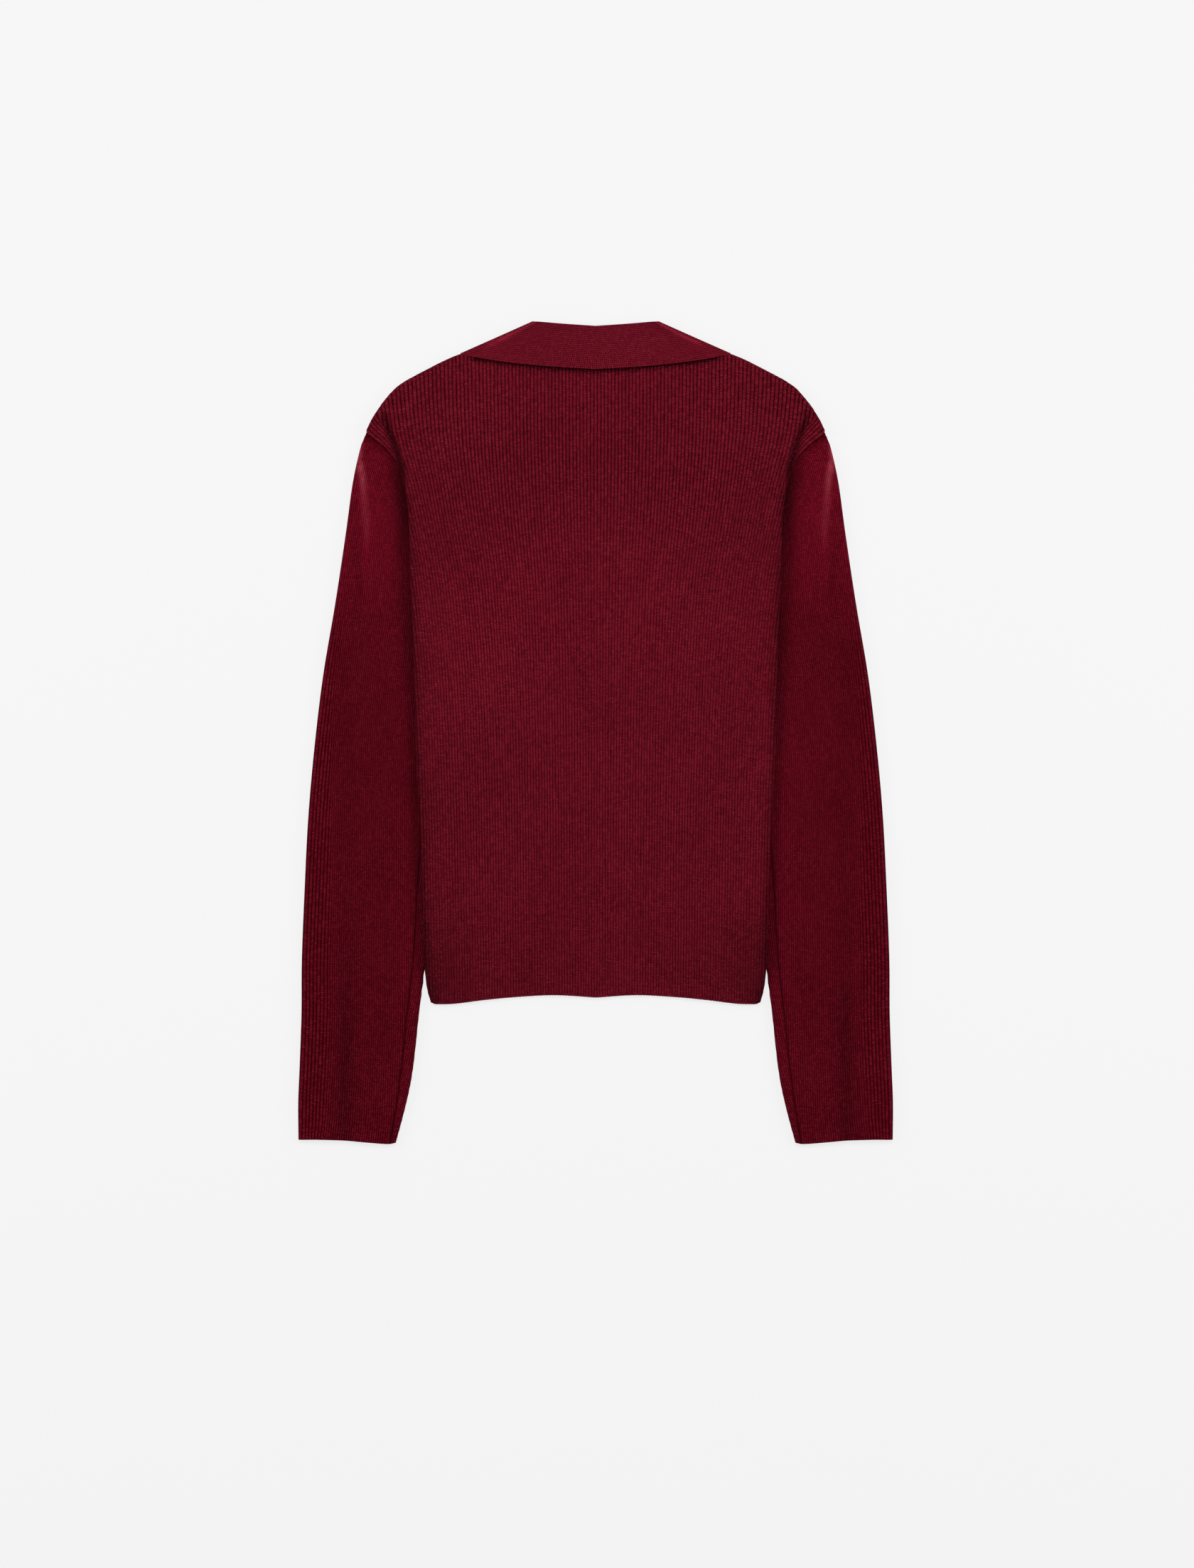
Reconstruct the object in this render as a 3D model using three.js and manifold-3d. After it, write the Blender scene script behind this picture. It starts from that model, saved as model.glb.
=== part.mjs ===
// A rib-knit sweater with a folded-down collar, laid flat on its front so that its back is up.
// Millimetres. +X is the wearer's right, +Y runs from the cuffs to the collar and +Z is up.
// Five knitted pieces: back, front with the V neck, two sleeves and the collar. Each is a wall of
// cloth made by giving thickness to a middle surface. Neighbours lie SEAM_GAP apart at their seams.
import * as THREE from 'three';
import { mergeVertices } from 'three/addons/utils/BufferGeometryUtils.js';
import Module from 'manifold-3d';

// ---- driving dimensions ----
const CLOTH = 2.0;             // thickness of the rib knit
const SEAM_GAP = 0.3;          // between two pieces sewn edge to edge
const FOLD_GAP = 0.5;          // between back and front where their edges meet inside a fold
const LAY_GAP = 0.7;           // between two layers that lie on each other

const HEM_Y = -227.7;          // middle of the hem
const NECK_Y = 336.7;          // middle of the back neckline
const SHOULDER_Y = 259.9;      // where the shoulder, armhole and sleeve meet
const NECK_HALF = 52.5;        // from the middle to the neck point of the shoulder
const STRAIGHT_TO_Y = 97.6;    // below this the courses run straight across

const V_BOTTOM_Y = 196;        // lowest point of the V neck
const V_HALF = 52;             // half its width between the neck points
const V_TOP_Y = 346.5;

const ARMPIT = { x: 117.7, y: 133 };
const SHOULDER = { x: 195.8, y: SHOULDER_Y };
const FRONT_OVER_SLEEVE_Y = 128;

const SLEEVE_LOFT = 7.4;       // height of a sleeve beside the body
const SLEEVE_PRESSED = 4.6;    // and where the body lies on it
const SLEEVE_CAP = 5.6;        // and at the armhole
const SLEEVE_RISE = 24;        // width of the slope between them
const LAPEL_LIFT = CLOTH + SEAM_GAP;

const BACK_OVER_FRONT = 1.2;   // air between back and front in the middle of the body
const BACK_SIDE_RISE = 5.6;    // how much higher the back lies above the sleeves
const BACK_SHOULDER_RISE = 3.3;
const BACK_NECK_RISE = 2.1;    // and above the collar's leaves

// Half the width of the body at each height, from the hem up the side and along the armhole seam.
const BODY_SIDE = [
  { y: -232.0, half: 140.5 },
  { y: -214.7, half: 144.9 },
  { y: -189.1, half: 146.7 },
  { y: -126.9, half: 148.8 },
  { y: -72.6, half: 150.7 },
  { y: -32.9, half: 153.4 },
  { y: 26.2, half: 154.9 },
  { y: 97.6, half: 157.4 },
  { y: 140.3, half: 159.2 },
  { y: 180.0, half: 161.0 },
  { y: 201.9, half: 162.9 },
  { y: 222.7, half: 168.4 },
  { y: 233.0, half: 172.0 },
  { y: 247.7, half: 182.4 },
  { y: SHOULDER_Y, half: 195.8 },
];

// The top edge of the body by distance from the middle: back neckline, then the shoulder.
const BODY_TOP = [
  { x: 0, y: NECK_Y },
  { x: 26, y: 340.0 },
  { x: NECK_HALF, y: 346.5 },
  { x: 88, y: 332.8 },
  { x: 114.7, y: 322.1 },
  { x: 133.0, y: 317.2 },
  { x: 156.2, y: 305.0 },
  { x: 173.9, y: 292.8 },
  { x: 184.8, y: 280.6 },
  { x: 192.2, y: 268.4 },
  { x: 195.8, y: SHOULDER_Y },
];

// How the hem waves: height above a straight line by share of the half width.
const HEM_WAVE = [
  { share: 0, rise: 0 },
  { share: 0.25, rise: 2.0 },
  { share: 0.5, rise: 0.2 },
  { share: 0.68, rise: -2.2 },
  { share: 0.86, rise: -5.3 },
  { share: 0.96, rise: -5.0 },
  { share: 1, rise: -2.6 },
];

// The armhole end of a sleeve: how far its upper and its lower layer bow into the body, by share of
// the way from the shoulder to the armpit. The upper layer reaches a little under the back.
const ARMHOLE = [
  { share: 0, upper: -1.3, lower: -1.3 },
  { share: 0.02, upper: -1.0, lower: -0.6 },
  { share: 0.06, upper: 3.6, lower: 3.0 },
  { share: 0.12, upper: 6.9, lower: 5.9 },
  { share: 0.24, upper: 9.2, lower: 10.9 },
  { share: 0.5, upper: 8.5, lower: 16.0 },
  { share: 0.8, upper: 4.0, lower: 9.4 },
  { share: 1, upper: 0, lower: 0 },
];

// The two long edges of a sleeve laid flat, from the cuff to the armhole.
const SLEEVE_EDGES = [
  { outerX: 254.4, outerY: -349.5, innerX: 175.1, innerY: -352.9 },
  { outerX: 255.0, outerY: -317.2, innerX: 162.3, innerY: -317.2 },
  { outerX: 253.8, outerY: -286.7, innerX: 156.2, innerY: -286.7 },
  { outerX: 252.2, outerY: -241.0, innerX: 151.9, innerY: -241.0 },
  { outerX: 251.9, outerY: -195.2, innerX: 147.0, innerY: -192.8 },
  { outerX: 249.5, outerY: -134.2, innerX: 141.5, innerY: -128.0 },
  { outerX: 246.4, outerY: -73.2, innerX: 136.6, innerY: -66.0 },
  { outerX: 241.0, outerY: -12.2, innerX: 131.8, innerY: -4.0 },
  { outerX: 233.6, outerY: 48.8, innerX: 126.9, innerY: 48.0 },
  { outerX: 223.3, outerY: 109.8, innerX: 122.5, innerY: 88.0 },
  { outerX: 214.1, outerY: 170.8, innerX: 120.0, innerY: 112.0 },
  { outerX: 208.0, outerY: 213.5, innerX: 118.6, innerY: 124.0 },
  { outerX: 201.2, outerY: 244.0, innerX: 118.0, innerY: 130.0 },
  { outerX: SHOULDER.x, outerY: SHOULDER.y, innerX: ARMPIT.x, innerY: ARMPIT.y },
];

// The collar from the middle of the back neck, over the shoulder, to the end of one leaf.
// seam: where it is sewn to the neckline. roll: its fold, on the inner layer. free: its free edge.
// normal: the side on which the fall lies on the stand.
const COLLAR_SECTIONS = [
  { seam: [0, 337.1, 6.3], roll: [0, 347.9, 6.3], free: [0, 311.7, 8.7], normal: [0, 0, 1] },
  { seam: [26, 341.4, 6.3], roll: [28, 349.4, 6.3], free: [44, 314.8, 8.7], normal: [0, 0, 1] },
  { seam: [44, 346.4, 6.3], roll: [47, 350.9, 6.3], free: [82, 318.8, 8.7], normal: [0, 0, 1] },
  { seam: [50.4, 348.6, 6.2], roll: [52.6, 351.1, 6.2], free: [106, 323.4, 8.9], normal: [0.1, 0.2, 1] },
  { seam: [52.2, 348.8, 4.8], roll: [54.0, 350.6, 4.8], free: [114.4, 326.2, 4.9], normal: [0.42, 0.9, 0] },
  { seam: [50.4, 347.6, 3.4], roll: [51.4, 349.8, 3.4], free: [106, 322.4, 1.0], normal: [0.1, 0.2, -1] },
  { seam: [46.8, 333.0, 3.3], roll: [44.6, 335.4, 3.3], free: [93, 304.0, 1.0], normal: [0, 0, -1] },
  { seam: [36.6, 303.0, 3.3], roll: [33.6, 304.0, 3.3], free: [81, 282.0, 1.0], normal: [0, 0, -1] },
  { seam: [23.2, 264.0, 3.3], roll: [20.4, 264.8, 3.3], free: [70, 245.0, 1.0], normal: [0, 0, -1] },
];
const COLLAR_FOLD = 2.4;       // between the stand and the fall
const COLLAR_COLUMNS = 16;     // from the middle of the back neck to the end of one leaf

// ---- small tools ----
const lerp = THREE.MathUtils.lerp;
const smooth = (from, to, value) => {
  const t = THREE.MathUtils.clamp((value - from) / (to - from), 0, 1);
  return t * t * (3 - 2 * t);
};

// A value that runs smoothly through the rows of a table.
function follow(table, key, column, value) {
  const last = table.length - 1;
  let i = 0;
  while (i < last - 1 && value > table[i + 1][key]) i += 1;
  const [a, b] = [table[i], table[i + 1]];
  const span = b[key] - a[key];
  const before = table[Math.max(i - 1, 0)];
  const after = table[Math.min(i + 2, last)];
  const slopeA = (b[column] - before[column]) / (b[key] - before[key]) * span;
  const slopeB = (after[column] - a[column]) / (after[key] - a[key]) * span;
  const t = THREE.MathUtils.clamp((value - a[key]) / span, 0, 1);
  const [t2, t3] = [t * t, t * t * t];
  return (2 * t3 - 3 * t2 + 1) * a[column] + (t3 - 2 * t2 + t) * slopeA
    + (3 * t2 - 2 * t3) * b[column] + (t3 - t2) * slopeB;
}

// A wall of cloth: the middle surface moved half a thickness to each side and closed round its edges.
// ring is true where the surface closes on itself across its columns. The rims come first.
function clothWall(middle, columns, rows, ring) {
  const step = 1e-4;
  const sides = [[], []];
  for (const v of rows) {
    for (const u of columns) {
      const point = middle(u, v);
      const along = middle(u + step, v).sub(middle(u - step, v));
      const up = middle(u, v + step).sub(middle(u, v - step));
      const normal = along.cross(up).normalize().multiplyScalar(CLOTH / 2);
      sides[0].push(point.clone().add(normal));
      sides[1].push(point.clone().sub(normal));
    }
  }
  const [wide, high] = [columns.length, rows.length];
  const count = wide * high;
  const at = (side, i, j) => side * count + j * wide + (i % wide);
  const index = [];
  const quad = (a, b, c, d) => index.push(a, b, c, a, c, d);
  const spans = ring ? wide : wide - 1;
  for (let i = 0; i < spans; i += 1) {
    quad(at(0, i, 0), at(1, i, 0), at(1, i + 1, 0), at(0, i + 1, 0));
    quad(at(0, i, high - 1), at(0, i + 1, high - 1), at(1, i + 1, high - 1), at(1, i, high - 1));
  }
  if (!ring) {
    for (let j = 0; j < high - 1; j += 1) {
      quad(at(0, 0, j), at(0, 0, j + 1), at(1, 0, j + 1), at(1, 0, j));
      quad(at(0, wide - 1, j), at(1, wide - 1, j), at(1, wide - 1, j + 1), at(0, wide - 1, j + 1));
    }
  }
  for (let j = 0; j < high - 1; j += 1) {
    for (let i = 0; i < spans; i += 1) {
      const outer = [at(0, i, j), at(0, i + 1, j), at(0, i + 1, j + 1), at(0, i, j + 1)];
      const inner = [at(1, i, j), at(1, i, j + 1), at(1, i + 1, j + 1), at(1, i + 1, j)];
      const leftHalf = columns[i] < 0;
      quad(...(leftHalf ? [...outer.slice(1), outer[0]] : outer));
      quad(...(leftHalf ? [...inner.slice(1), inner[0]] : inner));
    }
  }
  const geometry = new THREE.BufferGeometry();
  const positions = sides.flat().flatMap((p) => [p.x, p.y, p.z]);
  geometry.setAttribute('position', new THREE.Float32BufferAttribute(positions, 3));
  geometry.setIndex(index);
  return geometry;
}

// ---- heights of the layers ----
// The long inner edge of a sleeve, which lies hidden under the body.
const sleeveInnerX = (y) => follow(SLEEVE_EDGES, 'innerY', 'innerX', y);

// How far each layer is lifted by what lies under it.
function overSleeve(x, y, slope) {
  const inner = sleeveInnerX(Math.min(y, FRONT_OVER_SLEEVE_Y)) - 4;
  const fromHem = smooth(-232, -208, y);
  return smooth(inner - slope, inner, x) * fromHem;
}
function overLapel(x, y) {
  const edgeX = lerp(70, 116, (y - 245) / (322 - 245));
  const across = 1 - smooth(edgeX + 8, edgeX + 24, x);
  const down = smooth(206, 230, y);
  return across * down;
}
function frontZ(x, y) {
  const sleeve = overSleeve(x, y, 16) * (1 - smooth(FRONT_OVER_SLEEVE_Y + 20, FRONT_OVER_SLEEVE_Y + 44, y));
  return CLOTH / 2 + (SLEEVE_PRESSED + LAY_GAP) * sleeve + LAPEL_LIFT * overLapel(x, y);
}
function backZ(x, y) {
  const side = lerp(BACK_SIDE_RISE, BACK_SHOULDER_RISE, smooth(130, 235, y));
  const rise = side * overSleeve(x, y, 34);
  const base = CLOTH + BACK_OVER_FRONT + CLOTH / 2;
  return base + Math.max(rise, BACK_NECK_RISE * overLapel(x, y));
}

// ---- back and front ----
const CORNER_REACH = 2.4;      // how wide the shoulder fold is where it ends at the sleeve
const ROLL_SHARE = 0.985;      // the share of a panel's rows and columns that lies inside its folds
const foldReach = (drop) => Math.min(1.3 * drop, drop * drop / 1.05);

// One layer of the body. face is 1 for the back, whose edges roll down, and -1 for the front.
function bodyLayer(face) {
  const layerZ = face > 0 ? backZ : frontZ;
  return (u, v) => {
    const share = Math.min(Math.abs(u), 1);
    const inShare = Math.min(share / ROLL_SHARE, 1);
    const inRow = Math.min(v / ROLL_SHARE, 1);
    const midY = lerp(HEM_Y, NECK_Y, inRow);
    const t = Math.max(midY - STRAIGHT_TO_Y, 0) / (NECK_Y - STRAIGHT_TO_Y);
    const first = (NECK_Y - STRAIGHT_TO_Y) / (SHOULDER_Y - STRAIGHT_TO_Y);
    const bent = lerp(STRAIGHT_TO_Y, SHOULDER_Y, first * t - (first - 1) * t * t);
    const edgeY = t > 0 ? bent : midY;
    const half = follow(BODY_SIDE, 'y', 'half', Math.max(edgeY, BODY_SIDE[0].y)) - CLOTH / 2;

    const sideTurn = lerp(Math.PI / 2, Math.PI / 6, smooth(133, 165, edgeY));
    const sideDrop = Math.max((backZ(half, edgeY) - frontZ(half, edgeY) - FOLD_GAP) / 2, 1.2);
    const sideReach = foldReach(sideDrop) * Math.sin(sideTurn);
    const sideAngle = Math.max(share - ROLL_SHARE, 0) / (1 - ROLL_SHARE) * sideTurn;
    const x = share <= ROLL_SHARE ? (half - sideReach) * inShare
      : half - sideReach + foldReach(sideDrop) * Math.sin(sideAngle);

    const topX = share <= ROLL_SHARE ? (SHOULDER.x - sideReach) * inShare
      : lerp(SHOULDER.x - sideReach, SHOULDER.x, (share - ROLL_SHARE) / (1 - ROLL_SHARE));
    const slope = (follow(BODY_TOP, 'x', 'y', topX + 0.5) - follow(BODY_TOP, 'x', 'y', topX - 0.5));
    const steep = Math.min(Math.sqrt(1 + slope * slope), 2.5);
    const isShoulder = smooth(NECK_HALF - 4, NECK_HALF + 3, x);
    const topTurn = Math.PI / 2 * isShoulder;
    const topY = follow(BODY_TOP, 'x', 'y', topX) - CLOTH / 2 * steep * isShoulder;
    const topDrop = Math.max((backZ(x, topY) - frontZ(x, topY) - FOLD_GAP) / 2, 1.2);
    const topReach = lerp(foldReach(topDrop) * steep, CORNER_REACH, smooth(0.86, 1, share));
    const topAngle = Math.max(v - ROLL_SHARE, 0) / (1 - ROLL_SHARE) * topTurn;

    const rise = (midY - edgeY) * (topY - SHOULDER_Y) / (NECK_Y - SHOULDER_Y);
    const wave = follow(HEM_WAVE, 'share', 'rise', share) * (1 - smooth(0, 0.16, inRow));
    const y = edgeY + rise + wave - topReach * Math.sin(topTurn) * smooth(0.85, 1, inRow)
      + topReach * Math.sin(topAngle);
    const curl = sideDrop * (1 - Math.cos(sideAngle)) * Math.cos(topAngle)
      + topDrop * (1 - Math.cos(topAngle));
    return new THREE.Vector3(Math.sign(u) * x, y, layerZ(x, y) - face * curl);
  };
}

// Evenly spaced values with the last few inside the fold.
function foldedSteps(flat, fold) {
  const steps = [];
  for (let i = 0; i <= flat; i += 1) steps.push(ROLL_SHARE * i / flat);
  for (let i = 1; i <= fold; i += 1) steps.push(lerp(ROLL_SHARE, 1, i / fold));
  return steps;
}
const COURSES = [0, 0.09, 0.18, 0.27, 0.36, 0.45, 0.54, 0.62, 0.7, 0.77, 0.83, 0.88, 0.92, 0.96, 1];
const halfColumns = foldedSteps(12, 3);
const bodyColumns = [...halfColumns.slice(1).reverse().map((u) => -u), ...halfColumns];
const bodyRows = [...COURSES.map((share) => ROLL_SHARE * share), ...foldedSteps(1, 3).slice(2)];

const wasm = await Module();
wasm.setup();

function solid(geometry) {
  const bare = geometry.clone();
  bare.deleteAttribute('normal');
  bare.deleteAttribute('uv');
  const merged = mergeVertices(bare, 1e-5);
  const mesh = new wasm.Mesh({
    numProp: 3,
    vertProperties: new Float32Array(merged.attributes.position.array),
    triVerts: new Uint32Array(merged.index.array),
  });
  return new wasm.Manifold(mesh);
}

function fromSolid(body) {
  const mesh = body.getMesh();
  const geometry = new THREE.BufferGeometry();
  geometry.setAttribute('position', new THREE.Float32BufferAttribute(mesh.vertProperties, 3));
  geometry.setIndex([...mesh.triVerts]);
  return geometry;
}

// An upright block with the given outline, used to cut the cloth.
function cutter(points) {
  const shape = new THREE.Shape(points.map(([x, y]) => new THREE.Vector2(x, y)));
  const geometry = new THREE.ExtrudeGeometry(shape, { depth: 40, bevelEnabled: false });
  geometry.translate(0, 0, -10);
  return solid(geometry);
}

// A point on the armhole seam, from the shoulder (0) to the armpit (1), set into the body by bow.
function armholePoint(share, bow) {
  const chord = new THREE.Vector2(ARMPIT.x - SHOULDER.x, ARMPIT.y - SHOULDER.y);
  const into = new THREE.Vector2(chord.y, -chord.x).normalize();
  return new THREE.Vector2(SHOULDER.x, SHOULDER.y).addScaledVector(chord, share).addScaledVector(into, bow);
}
const CUT_PAST = 50;           // how far a cut runs past the edge of the cloth
const ARMHOLE_CUT_RISE = 1.2;  // how far above the sleeve's corner the armhole's cut ends
const ARMHOLE_CUT_STEPS = 20;
const frontBow = (share) => follow(ARMHOLE, 'share', 'lower', share);
const backBow = (share) => follow(ARMHOLE, 'share', 'upper', share);

function frontPanel() {
  let panel = solid(clothWall(bodyLayer(-1), bodyColumns, bodyRows, false));
  const aboveNeck = V_TOP_Y + CUT_PAST;
  const neck = [[0, V_BOTTOM_Y], [V_HALF, V_TOP_Y], [V_HALF, aboveNeck], [-V_HALF, aboveNeck], [-V_HALF, V_TOP_Y]];
  panel = panel.subtract(cutter(neck));
  for (const side of [1, -1]) {
    const outline = [];
    for (let i = 0; i <= ARMHOLE_CUT_STEPS; i += 1) {
      const share = (i / ARMHOLE_CUT_STEPS) ** 1.6;
      const point = armholePoint(share, Math.max(frontBow(share), 0) + SEAM_GAP);
      outline.push([side * point.x, point.y]);
    }
    const [inside, outside] = [ARMPIT.x - CLOTH, SHOULDER.x + CUT_PAST];
    const top = SHOULDER.y + ARMHOLE_CUT_RISE;
    outline.push([side * inside, ARMPIT.y]);
    outline.push([side * inside, FRONT_OVER_SLEEVE_Y]);
    outline.push([side * outside, FRONT_OVER_SLEEVE_Y]);
    outline.push([side * outside, top]);
    outline.push([side * (SHOULDER.x - CLOTH / 2), top]);
    panel = panel.subtract(cutter(outline));
  }
  return fromSolid(panel);
}

// ---- sleeves ----
const SLEEVE_FOLD_STEPS = 4;
const SLEEVE_ROWS = 16;
const ACROSS_LAYER = [0, 0.045, 0.12, 0.25, 0.38, 0.52, 0.68, 0.84];
// Round the flattened tube: the outer fold, the upper layer, the inner fold and the lower layer.
// The whole part of each entry says which of them it is in, and the rest how far along it.
function sleeveRing(fold) {
  const ring = [];
  for (let i = 0; i < fold; i += 1) ring.push(i / fold);
  ACROSS_LAYER.forEach((share) => ring.push(1 + share));
  for (let i = 0; i < fold; i += 1) ring.push(2 + i / fold);
  ACROSS_LAYER.forEach((share, i) => ring.push(i === 0 ? 3 : 4 - ACROSS_LAYER[ACROSS_LAYER.length - i]));
  return ring;
}

function sleeveHeight(x, y) {
  const edge = follow(BODY_SIDE, 'y', 'half', THREE.MathUtils.clamp(y, BODY_SIDE[0].y, SHOULDER_Y));
  const under = lerp(SLEEVE_PRESSED, SLEEVE_CAP, smooth(165, 215, y));
  const beside = lerp(SLEEVE_LOFT, SLEEVE_CAP, smooth(190, 255, y));
  const lift = Math.max(smooth(edge, edge + SLEEVE_RISE, x), 1 - smooth(-236, -212, y));
  return lerp(under, beside, lift);
}

function sleeveSurface(side) {
  const rows = SLEEVE_EDGES.map((row, i) => ({ ...row, row: i }));
  return (u, v) => {
    const station = v * (rows.length - 1);
    const edge = (name) => follow(rows, 'row', name, station);
    const outer = new THREE.Vector2(edge('outerX') - CLOTH / 2, edge('outerY'));
    const inner = new THREE.Vector2(edge('innerX') + CLOTH / 2, edge('innerY'));
    const width = outer.distanceTo(inner);
    const turn = ((u % 4) + 4) % 4;
    const part = Math.floor(turn);
    const t = turn - part;
    const heightAt = (share) => {
      const p = outer.clone().lerp(inner, share);
      return (sleeveHeight(p.x, p.y) - CLOTH) / 2;
    };
    const outerHalf = heightAt(0.03);
    const innerHalf = heightAt(0.97);
    const outerReach = foldReach(outerHalf) / width;
    const innerReach = foldReach(innerHalf) / width;
    let share;
    let half;
    let lift;
    if (part === 0) {
      share = outerReach * (1 - Math.sin(Math.PI * t));
      half = outerHalf;
      lift = -Math.cos(Math.PI * t);
    } else if (part === 1) {
      share = lerp(outerReach, 1 - innerReach, t);
      half = heightAt(share);
      lift = 1;
    } else if (part === 2) {
      share = 1 - innerReach * (1 - Math.sin(Math.PI * t));
      half = innerHalf;
      lift = Math.cos(Math.PI * t);
    } else {
      share = lerp(outerReach, 1 - innerReach, 1 - t);
      half = heightAt(share);
      lift = -1;
    }
    const upper = (lift + 1) / 2;
    const bow = lerp(frontBow(share), backBow(share), upper) * smooth(0.72, 1, v);
    const chord = inner.clone().sub(outer);
    const into = new THREE.Vector2(chord.y, -chord.x).normalize();
    const p = outer.lerp(inner, share).addScaledVector(into, bow);
    const clear = SEAM_GAP * 2 * smooth(0.9, 1, v);
    p.addScaledVector(into, -clear);
    return new THREE.Vector3(side * p.x, p.y, CLOTH / 2 + half * (1 + lift));
  };
}

function sleeve(side) {
  const columns = sleeveRing(SLEEVE_FOLD_STEPS);
  const rows = [];
  for (let i = 0; i <= SLEEVE_ROWS; i += 1) rows.push(i / SLEEVE_ROWS);
  return clothWall(sleeveSurface(side), columns, rows, true);
}

// ---- collar ----
function collarSurface(u, v) {
  const last = COLLAR_SECTIONS.length - 1;
  const station = Math.min(Math.abs(u), 1) * last;
  const rows = COLLAR_SECTIONS.map((row, i) => ({ ...row, row: i }));
  const point = (name) => {
    const axis = (i) => follow(rows.map((row) => ({ row: row.row, value: row[name][i] })), 'row', 'value', station);
    return new THREE.Vector3(axis(0), axis(1), axis(2));
  };
  const normal = point('normal').normalize();
  const seam = point('seam');
  const roll = point('roll');
  const free = point('free');
  const outward = roll.clone().sub(seam).normalize();
  const radius = COLLAR_FOLD / 2;
  const foldStart = roll.clone().addScaledVector(outward, -radius);
  let p;
  if (v <= 1) {
    p = seam.lerp(foldStart, v);
  } else if (v <= 2) {
    const angle = (v - 1) * Math.PI;
    p = foldStart.addScaledVector(outward, radius * Math.sin(angle))
      .addScaledVector(normal, radius * (1 - Math.cos(angle)));
  } else {
    p = foldStart.addScaledVector(normal, COLLAR_FOLD).lerp(free, v - 2);
  }
  p.x *= Math.sign(u) || 1;
  p.z = Math.max(p.z, CLOTH / 2);
  return p;
}

function collar() {
  const columns = [];
  for (let i = -COLLAR_COLUMNS; i <= COLLAR_COLUMNS; i += 1) columns.push(i / COLLAR_COLUMNS);
  const rows = [0, 1, 1.25, 1.5, 1.75, 2, 2.25, 2.5, 2.75, 3];
  return clothWall(collarSurface, columns, rows, false);
}

// ---- the sweater ----
const knit = (colour) => new THREE.MeshStandardMaterial({ color: colour, roughness: 0.9, metalness: 0 });
const sweater = new THREE.Group();
function addPiece(name, geometry, colour) {
  const mesh = new THREE.Mesh(geometry, knit(colour));
  mesh.name = name;
  sweater.add(mesh);
}
const BACK_KNIT = 0x5c101b;
const SLEEVE_KNIT = 0x520814;
const COLLAR_KNIT = 0x630f1d;
addPiece('back', clothWall(bodyLayer(1), bodyColumns, bodyRows, false), BACK_KNIT);
addPiece('front', frontPanel(), BACK_KNIT);
addPiece('sleeve_left', sleeve(-1), SLEEVE_KNIT);
addPiece('sleeve_right', sleeve(1), SLEEVE_KNIT);
addPiece('collar', collar(), COLLAR_KNIT);

export default sweater;
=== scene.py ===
import math

import bpy
import numpy as np
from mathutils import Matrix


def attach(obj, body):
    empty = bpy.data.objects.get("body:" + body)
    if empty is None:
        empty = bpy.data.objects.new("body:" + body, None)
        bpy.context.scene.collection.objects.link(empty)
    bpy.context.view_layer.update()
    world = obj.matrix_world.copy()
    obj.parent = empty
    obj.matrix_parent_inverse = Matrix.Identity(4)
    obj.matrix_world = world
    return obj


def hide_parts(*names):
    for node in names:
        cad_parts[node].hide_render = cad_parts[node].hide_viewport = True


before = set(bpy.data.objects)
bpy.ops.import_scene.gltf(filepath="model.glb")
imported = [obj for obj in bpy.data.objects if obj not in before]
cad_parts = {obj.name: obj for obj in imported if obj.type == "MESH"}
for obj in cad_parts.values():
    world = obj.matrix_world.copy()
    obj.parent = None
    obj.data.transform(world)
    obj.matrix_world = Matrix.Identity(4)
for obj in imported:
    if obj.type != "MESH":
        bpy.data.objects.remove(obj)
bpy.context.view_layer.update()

# ---- The floor, the camera and the light ----
# The sweater lies on a plain white studio floor with its back up, in the light of a white room.
# The camera hangs over it and looks straight down, with the collar at the top of the frame.
FLOOR_HALF = 20.0
FLOOR_DROP = 0.0002
FLOOR_GREY = 0.12
FLOOR_GLOW = 0.775
ROOM_LIGHT = 0.4
CAMERA_PLACE = (0.0012, -0.0445, 3.2)
CAMERA_LENS = 85.6
bpy.ops.object.select_all(action="DESELECT")
bpy.ops.mesh.primitive_plane_add(size=2 * FLOOR_HALF, location=(0, 0, -FLOOR_DROP))
floor = bpy.context.object
floor.name = "floor"
floor_paint = bpy.data.materials.new("white_floor")
floor_paint.use_nodes = True
paint_nodes = floor_paint.node_tree.nodes
floor_shader = paint_nodes["Principled BSDF"]
floor_shader.inputs["Base Color"].default_value = (FLOOR_GREY, FLOOR_GREY, FLOOR_GREY, 1)
floor_shader.inputs["Roughness"].default_value = 1.0
floor_shader.inputs["Specular IOR Level"].default_value = 0.0
floor_shader.inputs["Emission Color"].default_value = (1, 1, 1, 1)
floor_shader.inputs["Emission Strength"].default_value = FLOOR_GLOW
floor.data.materials.append(floor_paint)

bpy.ops.object.camera_add(location=CAMERA_PLACE, rotation=(0, 0, 0))
camera = bpy.context.object
camera.data.sensor_width = 36
camera.data.lens = CAMERA_LENS
camera.data.clip_end = 20
bpy.context.scene.camera = camera
bpy.context.scene.view_settings.view_transform = "Standard"

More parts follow.
